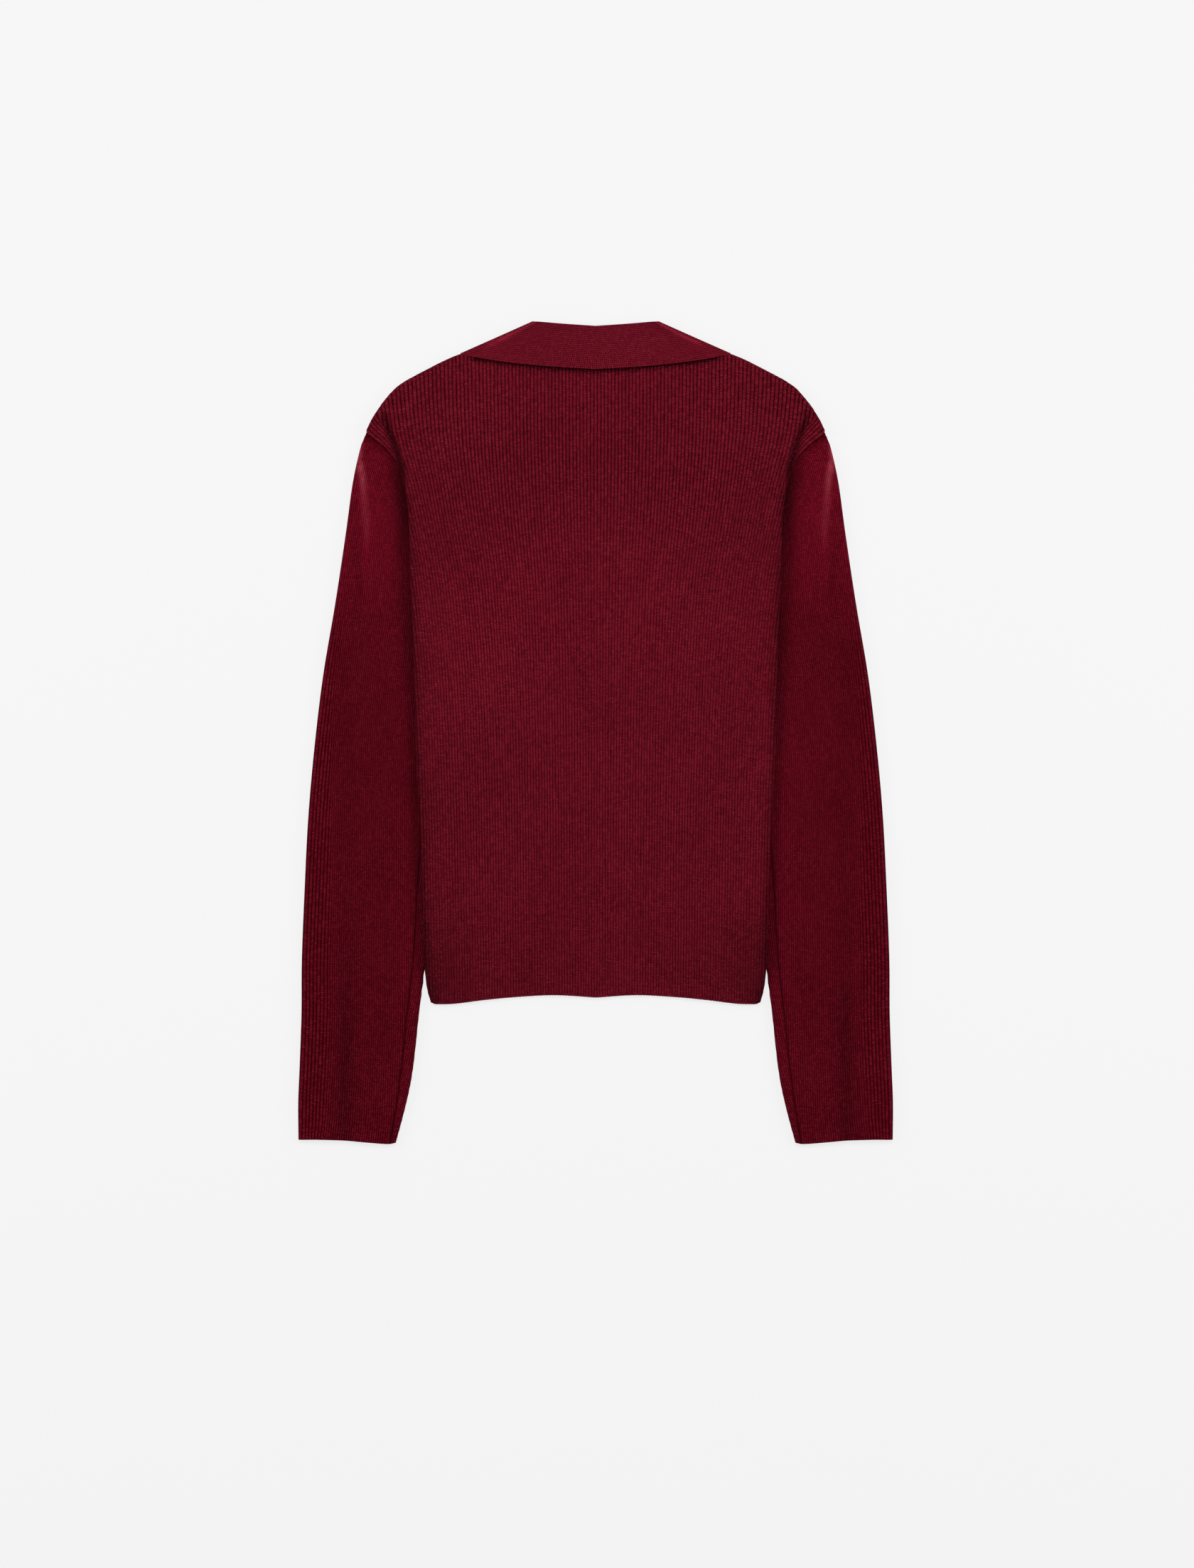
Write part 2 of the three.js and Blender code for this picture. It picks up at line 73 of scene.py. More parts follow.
room = bpy.data.worlds.new("white_room")
room.use_nodes = True
room.node_tree.nodes["Background"].inputs["Color"].default_value = (1, 1, 1, 1)
room.node_tree.nodes["Background"].inputs["Strength"].default_value = ROOM_LIGHT
bpy.context.scene.world = room
for name, place, watts, size in (
    ("left_softbox", (-1.8, 0.3, 1.2), 15, 0.9),
    ("right_softbox", (1.8, 0.3, 1.2), 15, 0.9),
    ("top_softbox", (0.0, 0.9, 2.6), 40, 0.9),
):
    light = bpy.data.lights.new(name, "AREA")
    light.energy = watts
    light.size = size
    lamp = bpy.data.objects.new(name, light)
    bpy.context.collection.objects.link(lamp)
    lamp.location = place
    lean = math.atan2(math.hypot(place[0], place[1]), place[2])
    lamp.rotation_euler = (lean, 0, math.atan2(place[0], -place[1]))

# ---- The back ----
# One panel of rib knit, from the hem to the neckline and the shoulder folds. Its broad ribs run up
# it and lean outwards at the top. Its side edges roll down over the sleeves to meet the front, and
# five fine ribs run along each armhole seam. The places here are in millimetres, as they were cut.
MM = 0.001
CLOTH = 2.0
FOLD_GAP = 0.04
HEM_Y = -227.7
NECK_Y = 336.7
SIDE_BOTTOM_Y = -232.0
SHOULDER_X = 197.0
SHOULDER_Y = 259.9
NECK_HALF = 52.5
STRAIGHT_TO_Y = 97.6
FRONT_OVER_SLEEVE_Y = 128.0
CORNER_REACH = 2.4
LEAST_DROP = 1.2
STEEPEST = 2.5
ROLL = 0.985  # share of the courses, and of each course, that lies inside the rolled edge
STITCH_HEIGHT = 1.5
BODY_SIDE = np.array([  # y, half the width of the body
    (-232.0, 140.5), (-214.7, 144.9), (-189.1, 146.7), (-126.9, 148.8), (-72.6, 150.7),
    (-32.9, 153.4), (26.2, 154.9), (97.6, 157.4), (140.3, 159.2), (180.0, 161.0), (201.9, 162.9),
    (222.7, 168.4), (233.0, 171.6), (247.7, 182.4), (259.9, 197.0)])
BODY_TOP = np.array([  # distance from the middle, y of the neckline and the shoulder
    (0, 336.7), (26, 340.0), (52.5, 346.5), (88, 334.0), (104, 328.2), (121, 322.4), (133.0, 317.2),
    (156.2, 305.3), (165.0, 300.3), (173.2, 294.3), (184.2, 281.6), (192.4, 269.2), (197.0, 259.9)])
HEM_WAVE = np.array([  # share of the half width, height of the hem above a straight line
    (0, 0), (0.25, 2.0), (0.5, 0.2), (0.68, -2.2), (0.86, -5.3), (0.96, -5.7), (0.985, -5.2),
    (1, -2.7)])
SLEEVE_EDGES = np.array([  # outer edge x, y and inner edge x, y, from the cuff to the armhole
    (254.8, -349.3, 171.2, -352.7), (255.0, -317.2, 161.9, -317.2), (253.8, -286.7, 156.2, -286.7),
    (252.2, -241.0, 151.2, -241.0), (251.9, -195.2, 145.3, -192.8), (249.5, -134.2, 141.5, -128.0),
    (246.4, -73.2, 136.6, -66.0), (241.0, -12.2, 131.8, -4.0), (233.6, 48.8, 126.9, 48.0),
    (223.3, 109.8, 122.5, 88.0), (214.1, 170.8, 120.0, 112.0), (208.0, 213.5, 118.6, 124.0),
    (201.0, 244.0, 118.0, 130.0), (195.0, 258.6, 117.7, 133.0)])
COLLAR = np.array([  # seam x, y, z, then the fold, then the free edge, then the side the fall is on
    (0, 337.1, 6.3, 0, 347.0, 6.3, 0, 310.4, 9.1, 0, 0, 1),
    (26, 341.0, 6.3, 28, 348.9, 6.3, 44, 313.2, 9.1, 0, 0, 1),
    (44, 346.0, 6.3, 47, 350.5, 6.3, 82, 317.3, 9.0, 0, 0, 1),
    (50.4, 347.6, 6.2, 52.6, 350.4, 6.2, 108, 321.6, 8.9, 0.1, 0.2, 1),
    (52.2, 347.6, 4.8, 54.0, 349.4, 4.8, 115.6, 323.6, 4.9, 0.42, 0.9, 0),
    (50.4, 346.6, 3.4, 51.4, 348.8, 3.4, 106, 321.4, 1.0, 0.1, 0.2, -1),
    (46.8, 333.0, 3.3, 44.6, 335.4, 3.3, 93, 304.0, 1.0, 0, 0, -1),
    (36.6, 303.0, 3.3, 33.6, 304.0, 3.3, 81, 282.0, 1.0, 0, 0, -1),
    (23.2, 264.0, 3.3, 20.4, 264.8, 3.3, 70, 245.0, 1.0, 0, 0, -1)])
RIB_WIDTHS = np.array([  # y, width of a rib in the middle, half way out and at the side
    (-240, 2.3, 2.3, 2.3), (0, 2.4, 2.4, 2.4), (120, 2.6, 2.6, 2.5), (200, 2.9, 2.9, 2.7),
    (262, 3.0, 3.1, 3.4), (360, 3.0, 3.2, 3.8)])
WIDTHS_AT_RIBS = (10, 30, 50)  # the ribs, counted from the middle, that have those three widths


def smooth(low, high, value):
    share = np.clip((value - low) / (high - low), 0, 1)
    return share * share * (3 - 2 * share)


def blend(a, b, share):
    return a + (b - a) * share


def bell(value, middle, reach):
    """1 at the middle, falling softly to nothing on both sides."""
    return np.exp(-((value - middle) / reach) ** 2)


def follow(keys, values, at):
    """A value that runs smoothly through a table. values may have a column for each column of at."""
    at = np.asarray(at, float)
    last = len(keys) - 1
    i = np.clip(np.searchsorted(keys, at) - 1, 0, last - 1)
    before = np.maximum(i - 1, 0)
    after = np.minimum(i + 2, last)

    def value(rows):
        if values.ndim == 1:
            return values[rows]
        return np.take_along_axis(values, rows, axis=0)

    span = keys[i + 1] - keys[i]
    slope_a = (value(i + 1) - value(before)) / (keys[i + 1] - keys[before]) * span
    slope_b = (value(after) - value(i)) / (keys[after] - keys[i]) * span
    t = np.clip((at - keys[i]) / span, 0, 1)
    t2 = t * t
    t3 = t2 * t
    return ((2 * t3 - 3 * t2 + 1) * value(i) + (t3 - 2 * t2 + t) * slope_a
            + (3 * t2 - 2 * t3) * value(i + 1) + (t3 - t2) * slope_b)


def from_table(table, at, column=1):
    """A column of a table, followed smoothly by its first column."""
    return follow(table[:, 0], table[:, column], at)


def body_edge(y):
    """Half the width of the body at a height."""
    return from_table(BODY_SIDE, np.clip(y, SIDE_BOTTOM_Y, SHOULDER_Y))


def collar_edge(across):
    """How far down the back the collar's free edge comes."""
    return np.interp(across, COLLAR[:4, 6], COLLAR[:4, 7])


def over_sleeve(x, y, slope):
    low = np.minimum(y, FRONT_OVER_SLEEVE_Y)
    inner = follow(SLEEVE_EDGES[:, 3], SLEEVE_EDGES[:, 2], low) - 4
    return smooth(inner - slope, inner, x) * smooth(SIDE_BOTTOM_Y, -208, y)


def over_lapel(x, y):
    edge = blend(70, 116, (y - 245) / 77)
    return (1 - smooth(edge + 8, edge + 24, x)) * smooth(206, 230, y)


def front_z(x, y):
    sleeve = over_sleeve(x, y, 16) * (1 - smooth(148, 172, y))
    return 1.0 + 5.3 * sleeve + 2.3 * over_lapel(x, y)


def back_z(x, y):
    side = blend(5.6, 3.3, smooth(130, 235, y))
    return 4.2 + np.maximum(side * over_sleeve(x, y, 34), 2.1 * over_lapel(x, y))


def fold_reach(drop):
    return np.minimum(1.3 * drop, drop * drop / 1.05)


def course(row):
    """What one course of the body has at its side: its height, its half width and how it rolls."""
    in_row = np.minimum(row / ROLL, 1)
    mid_y = blend(HEM_Y, NECK_Y, in_row)
    t = np.maximum(mid_y - STRAIGHT_TO_Y, 0) / (NECK_Y - STRAIGHT_TO_Y)
    first = (NECK_Y - STRAIGHT_TO_Y) / (SHOULDER_Y - STRAIGHT_TO_Y)
    bent = blend(STRAIGHT_TO_Y, SHOULDER_Y, first * t - (first - 1) * t * t)
    edge_y = np.where(t > 0, bent, mid_y)
    half = body_edge(edge_y) - CLOTH / 2
    turn = blend(math.pi / 2, math.pi / 6, smooth(133, 165, edge_y))
    drop = np.maximum((back_z(half, edge_y) - front_z(half, edge_y) - FOLD_GAP) / 2, LEAST_DROP)
    reach = fold_reach(drop)
    return dict(in_row=in_row, mid_y=mid_y, edge_y=edge_y, half=half, turn=turn, drop=drop,
                reach=reach, flat=half - reach * np.sin(turn), roll=turn * (reach + drop) / 2)


def body_place(row, out, back):
    """The middle of the cloth at a course and a distance out along it, measured round the roll."""
    c = course(row)
    layer_z = back_z if back else front_z
    into_roll = np.maximum((out - c["flat"]) / c["roll"], 0)
    share = np.where(out > c["flat"], ROLL + (1 - ROLL) * into_roll, ROLL * out / c["flat"])
    angle = into_roll * c["turn"]
    x = np.minimum(out, c["flat"]) + c["reach"] * np.sin(angle)
    flat_top = SHOULDER_X - (c["half"] - c["flat"])
    top_x = blend(flat_top * np.minimum(share / ROLL, 1), SHOULDER_X, into_roll)
    top_x = np.where(into_roll > 0, top_x, flat_top * share / ROLL)
    slope = from_table(BODY_TOP, top_x + 0.5) - from_table(BODY_TOP, top_x - 0.5)
    steep = np.minimum(np.sqrt(1 + slope * slope), STEEPEST)
    is_shoulder = smooth(NECK_HALF - 4, NECK_HALF + 3, x)
    top_turn = math.pi / 2 * is_shoulder
    top_y = from_table(BODY_TOP, top_x) - CLOTH / 2 * steep * is_shoulder
    top_drop = np.maximum((back_z(x, top_y) - front_z(x, top_y) - FOLD_GAP) / 2, LEAST_DROP)
    top_reach = blend(fold_reach(top_drop) * steep, CORNER_REACH, smooth(0.86, 1, share))
    top_angle = np.maximum(row - ROLL, 0) / (1 - ROLL) * top_turn
    rise = (c["mid_y"] - c["edge_y"]) * (top_y - SHOULDER_Y) / (NECK_Y - SHOULDER_Y)
    wave = from_table(HEM_WAVE, share) * (1 - smooth(0, 0.16, c["in_row"]))
    y = (c["edge_y"] + rise + wave + top_reach * np.sin(top_angle)
         - top_reach * np.sin(top_turn) * smooth(0.85, 1, c["in_row"]))
    curl = (c["drop"] * (1 - np.cos(angle)) * np.cos(top_angle)
            + top_drop * (1 - np.cos(top_angle)))
    z = layer_z(x, y) + np.where(back, -curl, curl)
    return np.stack(np.broadcast_arrays(x, y, z), axis=-1)


def rib_places(ribs, widths, at_y):
    """How far out each rib lies at a height, from the widths of the ribs at several heights."""
    fine = np.linspace(0, 90, 1801)
    table = []
    for middle, half_way, side in widths[:, 1:]:
        width = np.interp(fine, WIDTHS_AT_RIBS, (middle, half_way, side))
        gone = np.concatenate(([0], np.cumsum((width[1:] + width[:-1]) / 2 * np.diff(fine))))
        table.append(np.interp(ribs, fine, gone))
    return follow(widths[:, 0], np.array(table), at_y)


def crest(phase):
    """The outside of a rib across its width: 0 in the groove and 1 on its broad round top."""
    return np.abs(np.sin(math.pi * phase)) ** 0.55


def purl(phase):
    """The inside of the knit, which stands up behind the grooves."""
    return 1 - np.abs(np.cos(math.pi * phase)) ** 0.8


def knit_wall(name, middle, normal, outside, inside, blocks, ring, uv, painted_shading):
    """A closed wall of knit. middle, normal and uv hold a grid of rows and columns. outside and
    inside say how far the two faces of the cloth lie from its middle, and the last argument holds
    painted light and shade: how much lighter or darker the yarn's colour is made at each point.
    blocks are (first, last) of the columns and the rows that are joined into cloth, and ring joins
    the last column to the first. Columns that have run together are merged, and rims are closed."""
    rows, wide = middle.shape[:2]
    outer = (middle + normal * outside[..., None]).reshape(-1, 3) * MM
    inner = (middle + normal * inside[..., None]).reshape(-1, 3) * MM
    place = np.round(np.hstack((outer, inner)) * 1e8).astype(np.int64)
    _, kept, merged = np.unique(place, axis=0, return_index=True, return_inverse=True)
    merged = merged.reshape(-1)
    at = np.arange(rows * wide).reshape(rows, wide)
    quads = []
    for low, high, bottom, top in blocks:
        columns = np.arange(low, high)
        following = columns + 1
        if ring:
            following = following % wide
        for j in range(bottom, top):
            quads.append(np.stack((at[j, columns], at[j, following],
                                   at[j + 1, following], at[j + 1, columns]), axis=1))
    quads = np.concatenate(quads)
    count = len(kept)
    points = np.concatenate((outer[kept], inner[kept]))
    faces = []
    corners = []
    for quad in quads.tolist():
        face = []
        source = []
        for corner in quad:
            vertex = int(merged[corner])
            if vertex not in face:
                face.append(vertex)
                source.append(corner)
        if len(face) > 2:
            faces.append(face)
            corners.append(source)
    edges = {}
    for face, source in zip(faces, corners):
        for n in range(len(face)):
            m = (n + 1) % len(face)
            edges[face[n], face[m]] = (source[n], source[m])
    rim = [(pair, source) for pair, source in edges.items() if pair[::-1] not in edges]
    all_faces = list(faces)
    all_corners = list(corners)
    for face, source in zip(faces, corners):
        all_faces.append([vertex + count for vertex in reversed(face)])
        all_corners.append(source[::-1])
    for (a, b), (at_a, at_b) in rim:
        all_faces.append([b, a, a + count, b + count])
        all_corners.append([at_b, at_a, at_a, at_b])
    mesh = bpy.data.meshes.new(name)
    mesh.from_pydata(points.tolist(), [], all_faces)
    layer = mesh.uv_layers.new(name="knit")
    flat = uv.reshape(-1, 2)[np.concatenate([np.array(source) for source in all_corners])]
    layer.data.foreach_set("uv", flat.astype(np.float32).reshape(-1))
    # the painted light and shade is stored on each point, for the material to lighten or darken the
    # yarn
    shades = mesh.attributes.new("painted_shading", "FLOAT", "POINT")
    shades.data.foreach_set("value", np.tile(painted_shading.reshape(-1)[kept], 2).astype(np.float32))
    mesh.validate()
    mesh.update()
    piece = bpy.data.objects.new(name, mesh)
    bpy.context.collection.objects.link(piece)
    bpy.ops.object.select_all(action="DESELECT")
    piece.select_set(True)
    bpy.context.view_layer.objects.active = piece
    bpy.ops.object.shade_smooth_by_angle(angle=math.radians(66))
    return piece


def grid_normals(place, first, second, step=0.02, row_step=2e-4):
    """Which way the cloth faces, from the places just beside each point."""
    along = place(first, second + step) - place(first, second - step)
    up = place(first + row_step, second) - place(first - row_step, second)
    across = np.cross(along, up)
    return across / np.maximum(np.linalg.norm(across, axis=-1, keepdims=True), 1e-12)


RIB_STEPS = np.array((0, 0.13, 0.31, 0.5, 0.69, 0.87))
BODY_RIBS = 70
EDGE_RIBS = 5
NECK_EDGE = 100  # where the numbers of the edge ribs begin, so that each band has its own
ARMHOLE_EDGE = 110
NECK_BAND = 8.6
V_BOTTOM_Y = 196.0
V_LEAN = 52.0 / 150.5
rib_sway = np.random.default_rng(4).uniform(0, 2 * math.pi, (2, 200))


def stitches_up(place):
    """How many stitches up each point is, counted along its own rib."""
    rise = np.linalg.norm(np.diff(place, axis=0), axis=-1)
    return np.vstack((0 * place[:1, :, 0], np.cumsum(rise, axis=0))) / STITCH_HEIGHT


def armhole_hollow(across, y):
    """The soft hollow that runs beside the armhole band down to the edge of the body."""
    runs = np.interp(y, (218, 225, 240, 249, 259, 285), (165.2, 166.4, 170.2, 173, 177.4, 185))
    return bell(across, runs, 3.2) * smooth(212, 226, y) * (1 - smooth(262, 285, y))


def body_relief(x, y):
    """Soft waves of the cloth as it lies."""
    across = np.abs(x)
    waves = 0.55 * np.sin(x / 5.6 + 0.6) * bell(x, -3, 30) * (1 - smooth(-215, -120, y))
    slack = 0.25 * np.sin(x / 17 + y / 60) * np.sin(y / 41 + 1) * (1 - smooth(150, 220, y))
    pulled = -0.5 * bell(across, 60, 16) * (1 - smooth(-225, -150, y))
    pressed = -1.4 * armhole_hollow(across, y)
    tucked = -0.7 * bell(y, collar_edge(across) - 1.5, 4) * (1 - smooth(100, 108, across))
    return waves + slack + pulled + pressed + tucked


def body_painted_shading(x, y):
    """Painted light and shade in the yarn's colour: painted shade at the sides and in the hollows
    beside the armholes, a painted shadow under the collar's edge, and darker towards the hem."""
    across = np.abs(x)
    # painted shade where the side edges roll away over the sleeves
    side_shade = -0.3 * bell(across, body_edge(y), 6) * (1 - smooth(200, 240, y))
    # painted shade in the hollows beside the armholes
    hollow_shade = -0.6 * armhole_hollow(across, y)
    # painted shadow just under the collar's free edge
    collar_shadow = -0.85 * bell(y, collar_edge(across) - 0.6, 2.4) * (1 - smooth(104, 112, across))
    corners = 0.13 * smooth(70, 140, across) * (1 - smooth(-190, -130, y))
    low = -0.10 * (1 - smooth(-215, -90, y)) - corners
    # the last term is painted shade over the outer part of the back, towards the sides
    return side_shade + hollow_shade + collar_shadow + low - 0.12 * smooth(100, 142, across)


def rib_depth(x, y):
    """How deep the grooves are: open at the top, less so below, and pressed half shut at the sides."""
    depth = np.interp(y, (-220, -130, -70, 20, 150, 215, 250, 300),
                      (0.4, 0.5, 0.9, 0.5, 0.5, 1.25, 1.2, 1.0))
    return depth * (1 - 0.55 * smooth(100, 142, x) * (1 - smooth(245, 285, y)))


def settle(rows, back, edge, end):
    """How far out each course meets an edge that is given as a distance out for each height."""
    out = end * 0.5
    for _ in range(24):
        out = (out + np.clip(edge(body_place(rows, out, back)[..., 1]), 0, end)) / 2
    return out


def body_panel(name, back, rows, neck=False, arm_edge=None, cut_row=None):
    """A panel of the body. neck cuts the V into it. arm_edge cuts its armholes above cut_row."""
    side = course(rows)
    end = side["flat"] + side["roll"]
    if arm_edge is None:
        limit = end
        band = np.interp(side["edge_y"], (208, 224, 240, 260), (0, 4.2, 6.0, 8.2))
    else:
        cut = np.arange(len(rows))[:, None] > cut_row
        limit = np.where(cut, settle(rows, back, arm_edge, end), end)
        band = 7.0 * smooth(120, 150, side["edge_y"]) * cut
    start = limit - band
    edge_steps = (np.arange(EDGE_RIBS)[:, None] + RIB_STEPS[None]).reshape(-1)
    edge_steps = np.append(edge_steps, EDGE_RIBS)
    ribs = (np.arange(BODY_RIBS)[:, None] + RIB_STEPS[None]).reshape(-1)[3:]
    neck_out = np.zeros((len(rows), 0))
    neck_start = np.zeros((len(rows), 1))
    if neck:
        offsets = NECK_BAND * edge_steps / EDGE_RIBS
        neck_out = settle(np.broadcast_to(rows, (len(rows), len(offsets))), back,
                          lambda y: V_LEAN * (y - V_BOTTOM_Y) + offsets, end)
        neck_out = np.where(neck_out < 0.01, 0, neck_out)
        neck_start = neck_out[:, -1:]
    y = np.broadcast_to(side["mid_y"], (len(rows), len(ribs)))
    for _ in range(7):
        free = rib_places(ribs - 0.5, RIB_WIDTHS, y)
        y = body_place(rows, np.minimum(free, end), back)[..., 1]
    out = np.clip(free, neck_start, start)
    loose = smooth(0, 1.2, np.minimum(start - free, free - neck_start))
    closed = (free >= start) | (free < neck_start)
    shape = np.where(closed, 0, crest(ribs))
    behind = np.where(closed, 0, purl(ribs))
    grid = [(out, shape, behind, np.broadcast_to(ribs, out.shape), loose)]
    if neck:
        middle_line = neck_out == 0
        grid.insert(0, (neck_out, np.where(middle_line, 1, crest(edge_steps)),
                        np.where(middle_line, 1, purl(edge_steps)),
                        np.broadcast_to(NECK_EDGE + edge_steps, neck_out.shape), neck_out * 0))
    band_out = start + band * edge_steps / EDGE_RIBS
    shut = band < 1e-6
    band_out = np.where(shut, start, band_out)
    grid.append((band_out, np.where(shut, 0, crest(edge_steps)), np.where(shut, 0, purl(edge_steps)),
                 np.broadcast_to(ARMHOLE_EDGE + edge_steps, band_out.shape), band_out * 0))
    out, shape, behind, at_rib, loose = (np.concatenate(parts, axis=1) for parts in zip(*grid))
    middle = body_place(rows, out, back)
    normal = grid_normals(lambda row, at: body_place(row, at, back), rows, out)
    depth = rib_depth(middle[..., 0], middle[..., 1]) * (1 - 0.85 * smooth(ROLL, 1, rows))
    below = 1 - smooth(0, 0.004, rows / ROLL)
    start_up = 0.25 * bell((rows / ROLL) * (NECK_Y - HEM_Y), 9.8, 1.2)
    halves = []
    for hand in (-1, 1):
        place = middle.copy()
        sway = rib_sway[(hand + 1) // 2][np.floor(at_rib).astype(int)]
        place[..., 0] += loose * (0.10 * np.sin(middle[..., 1] / 5.1 + sway)
                                  + 0.08 * np.sin(middle[..., 1] / 11.7 + 2 * sway))
        place[..., 1] += 0.45 * (1 - shape) * below
        place[..., 0] *= hand
        facing = normal * (hand, 1, 1)
        if back:
            place += facing * body_relief(place[..., 0], place[..., 1])[..., None]
        lie = np.stack((hand * at_rib, stitches_up(middle)), axis=-1)
        halves.append((place, facing if back else -facing, CLOTH / 2 - depth * (1 - shape) - start_up,
                       -CLOTH / 2 + 0.5 * behind, lie, body_painted_shading(place[..., 0], place[..., 1])))
    joined = [np.concatenate((left[:, ::-1], right), axis=1) for left, right in zip(*halves)]
    if not back:
        joined = [part[:, ::-1] for part in joined]
    wide = out.shape[1]
    last = len(rows) - 1
    spans = [(0, last)] if cut_row is None else [(0, cut_row), (cut_row + 1, last)]
    blocks = [(low, low + wide - 1, bottom, top) for low in (0, wide) for bottom, top in spans]
    place, facing, outside, inside, lie, painted_shading = joined
    return knit_wall(name, place, facing, outside, inside, blocks, False, lie, painted_shading)


hem_rows = [ROLL * height / (NECK_Y - HEM_Y) for height in (0, 1.0, 2.6, 5.0, 8.0, 9.6, 11.0, 14.0)]
top_rows = list(ROLL + (1 - ROLL) * np.linspace(0, 1, 6))
back_rows = list(hem_rows)
for low, high, count in ((0.045, 0.85, 26), (0.862, 0.938, 8), (0.945, 0.99, 12)):
    back_rows += list(ROLL * np.linspace(low, high, count))
back_rows += top_rows
back = body_panel("back_knit", True, np.array(back_rows)[:, None])


def knit_material(name, light, dark, groove_shade_strength, loop, fleck, lean):
    """Fine wool knit: uneven V-shaped stitches up each rib, painted light and shade along their
    loops, and painted shade in the wavering grooves between. Each piece's painted light and shade
    scales the yarn's colour, with a paler painted highlight where it is lightest.
    """
    material = bpy.data.materials.new(name)
    material.use_nodes = True
    nodes = material.node_tree.nodes
    links = material.node_tree.links
    shader = nodes["Principled BSDF"]
    shader.inputs["Roughness"].default_value = 0.9
    shader.inputs["Specular IOR Level"].default_value = 0.02

    def put(value, socket):
        if isinstance(value, (int, float, tuple)):
            socket.default_value = value
        else:
            links.new(value, socket)

    def calc(operation, first, second=0.0):
        node = nodes.new("ShaderNodeMath")
        node.operation = operation
        put(first, node.inputs[0])
        put(second, node.inputs[1])
        return node.outputs[0]

    def move(operation, first, second, third=(0.0, 0.0, 0.0)):
        node = nodes.new("ShaderNodeVectorMath")
        node.operation = operation
        put(first, node.inputs[0])
        put(second, node.inputs[1])
        put(third, node.inputs[2])
        return node.outputs[0]

    def noise(scale, detail, output="Fac"):
        node = nodes.new("ShaderNodeTexNoise")
        node.inputs["Scale"].default_value = scale
        node.inputs["Detail"].default_value = detail
        links.new(place.outputs["Object"], node.inputs["Vector"])
        return node.outputs[output]

    place = nodes.new("ShaderNodeTexCoord")
    knit_map = nodes.new("ShaderNodeUVMap")
    knit_map.uv_map = "knit"
    waver = move("SUBTRACT", noise(420, 2, "Color"), (0.5, 0.5, 0.5))
    at = move("MULTIPLY_ADD", waver, (0.55, 1.0, 0.0), knit_map.outputs["UV"])
    split = nodes.new("ShaderNodeSeparateXYZ")
    links.new(at, split.inputs[0])
    across = calc("ABSOLUTE", calc("SUBTRACT", calc("FRACT", split.outputs[0]), 0.5))
    rib = nodes.new("ShaderNodeTexWhiteNoise")
    rib.noise_dimensions = "1D"
    links.new(calc("FLOOR", split.outputs[0]), rib.inputs["W"])
    loops = calc("ADD", split.outputs[1], calc("MULTIPLY", across, lean))
    loops = calc("ADD", loops, calc("MULTIPLY", rib.outputs["Value"], 0.7))
    stitch = calc("SINE", calc("MULTIPLY", loops, 2 * math.pi))
    which = nodes.new("ShaderNodeCombineXYZ")
    links.new(calc("FLOOR", split.outputs[0]), which.inputs[0])
    links.new(calc("FLOOR", loops), which.inputs[1])
    odd = nodes.new("ShaderNodeTexWhiteNoise")
    odd.noise_dimensions = "2D"
    links.new(which.outputs[0], odd.inputs["Vector"])
    # the painted light and shade that each piece stores on its points
    painted_shading = nodes.new("ShaderNodeAttribute")
    painted_shading.attribute_name = "painted_shading"
    # painted shade in the grooves between the ribs
    groove_shade = calc("POWER", calc("MULTIPLY", across, 2.0), 4.0)
    fuzz = noise(2400, 1)
    # painted light and shade along each stitch's loop, uneven from stitch to stitch
    uneven = calc("MULTIPLY", calc("ADD", odd.outputs["Value"], 0.5), loop)
    share = calc("ADD", 0.55, calc("MULTIPLY", stitch, uneven))
    share = calc("ADD", share, calc("MULTIPLY", calc("SUBTRACT", odd.outputs["Value"], 0.5), fleck))
    share = calc("ADD", share, calc("MULTIPLY", calc("SUBTRACT", fuzz, 0.5), 4 * fleck))
    share = calc("ADD", share, calc("MULTIPLY", calc("SUBTRACT", noise(9, 2), 0.5), 0.2))
    share = calc("SUBTRACT", share, calc("MULTIPLY", groove_shade, groove_shade_strength))
    yarn = nodes.new("ShaderNodeMix")
    yarn.data_type = "RGBA"
    links.new(share, yarn.inputs["Factor"])
    yarn.inputs[6].default_value = (*dark, 1)
    yarn.inputs[7].default_value = (*light, 1)
    # the painted light and shade scales the yarn's colour up or down
    shaded_yarn = nodes.new("ShaderNodeVectorMath")
    shaded_yarn.operation = "SCALE"
    links.new(yarn.outputs[2], shaded_yarn.inputs[0])
    links.new(calc("ADD", 1.0, painted_shading.outputs["Fac"]), shaded_yarn.inputs["Scale"])
    # painted highlights: a paler pink where the painted light is strongest, and a glint on the
    # brightest stitches
    painted_highlight = calc("MULTIPLY", calc("MAXIMUM", calc("SUBTRACT", painted_shading.outputs["Fac"], 0.5), 0.0), 0.12)
    glint = calc("MULTIPLY", calc("MAXIMUM", calc("SUBTRACT", share, 0.8), 0.0), 0.1)
    painted_highlight = calc("ADD", painted_highlight, glint)
    colour = move("MULTIPLY_ADD", painted_highlight, (1.0, 0.28, 0.38), shaded_yarn.outputs[0])
    links.new(colour, shader.inputs["Base Color"])
    height = calc("ADD", calc("MULTIPLY", stitch, 0.3), calc("MULTIPLY", odd.outputs["Value"], 0.4))
    bump = nodes.new("ShaderNodeBump")
    bump.inputs["Strength"].default_value = 0.8
    bump.inputs["Distance"].default_value = 0.0003
    links.new(calc("ADD", height, calc("MULTIPLY", fuzz, 1.2)), bump.inputs["Height"])
    links.new(bump.outputs["Normal"], shader.inputs["Normal"])
    return material


